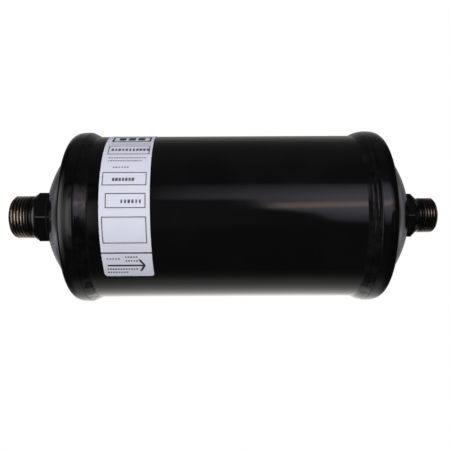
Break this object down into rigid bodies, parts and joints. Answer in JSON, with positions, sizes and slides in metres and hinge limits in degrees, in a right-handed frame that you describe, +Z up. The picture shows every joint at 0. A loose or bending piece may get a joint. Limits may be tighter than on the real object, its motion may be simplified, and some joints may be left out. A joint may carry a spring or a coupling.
{
  "type": "filter drier",
  "caption": "Hermetic refrigerant filter drier: a welded black steel cylinder with domed caps, a threaded flat-face fitting at each end and a wrapped label, with a spring-loaded core inside.",
  "frame": {"origin": "on the drier's axis, half way along the bare shell between the two cap skirts", "axes": "+X along the axis in the direction of flow, from the larger inlet fitting to the outlet fitting; +Z up; -Y towards the middle of the label"},
  "size_m": [0.252, 0.1002, 0.1002],
  "materials": {
    "shell_paint": "gloss black enamel",
    "weld_paint": "gloss black enamel over weld ripples",
    "fitting_steel": "black-finished turned steel with warm crests",
    "braze": "painted filler metal",
    "o_ring_rubber": "smooth",
    "label_sheet": "pale lavender-grey, satin, dark print of simple shapes",
    "spring_steel": "drawn wire",
    "plate_steel": "zinc-plated sheet",
    "screen_wire": "fine woven mesh",
    "felt": "needled felt",
    "gasket_felt": "dense felt",
    "core_block": "matt, moulded granules"
  },
  "bodies": {
    "root": {"shell_tube": "shell_paint", "inlet_end_cap": "shell_paint", "outlet_end_cap": "shell_paint", "inlet_weld_bead": "weld_paint", "outlet_weld_bead": "weld_paint", "inlet_fitting": "fitting_steel", "outlet_fitting": "fitting_steel", "inlet_braze_ring": "braze", "outlet_braze_ring": "braze", "inlet_o_ring": "o_ring_rubber", "outlet_o_ring": "o_ring_rubber", "rating_label": "label_sheet", "core_spring": "spring_steel", "pressure_plate": "plate_steel", "outlet_perforated_plate": "plate_steel", "inlet_screen": "screen_wire", "outlet_screen": "screen_wire", "inlet_felt_pad": "felt", "outlet_filter_pad": "felt", "core_gasket": "gasket_felt", "desiccant_core": "core_block"}
  },
  "joints": []
}
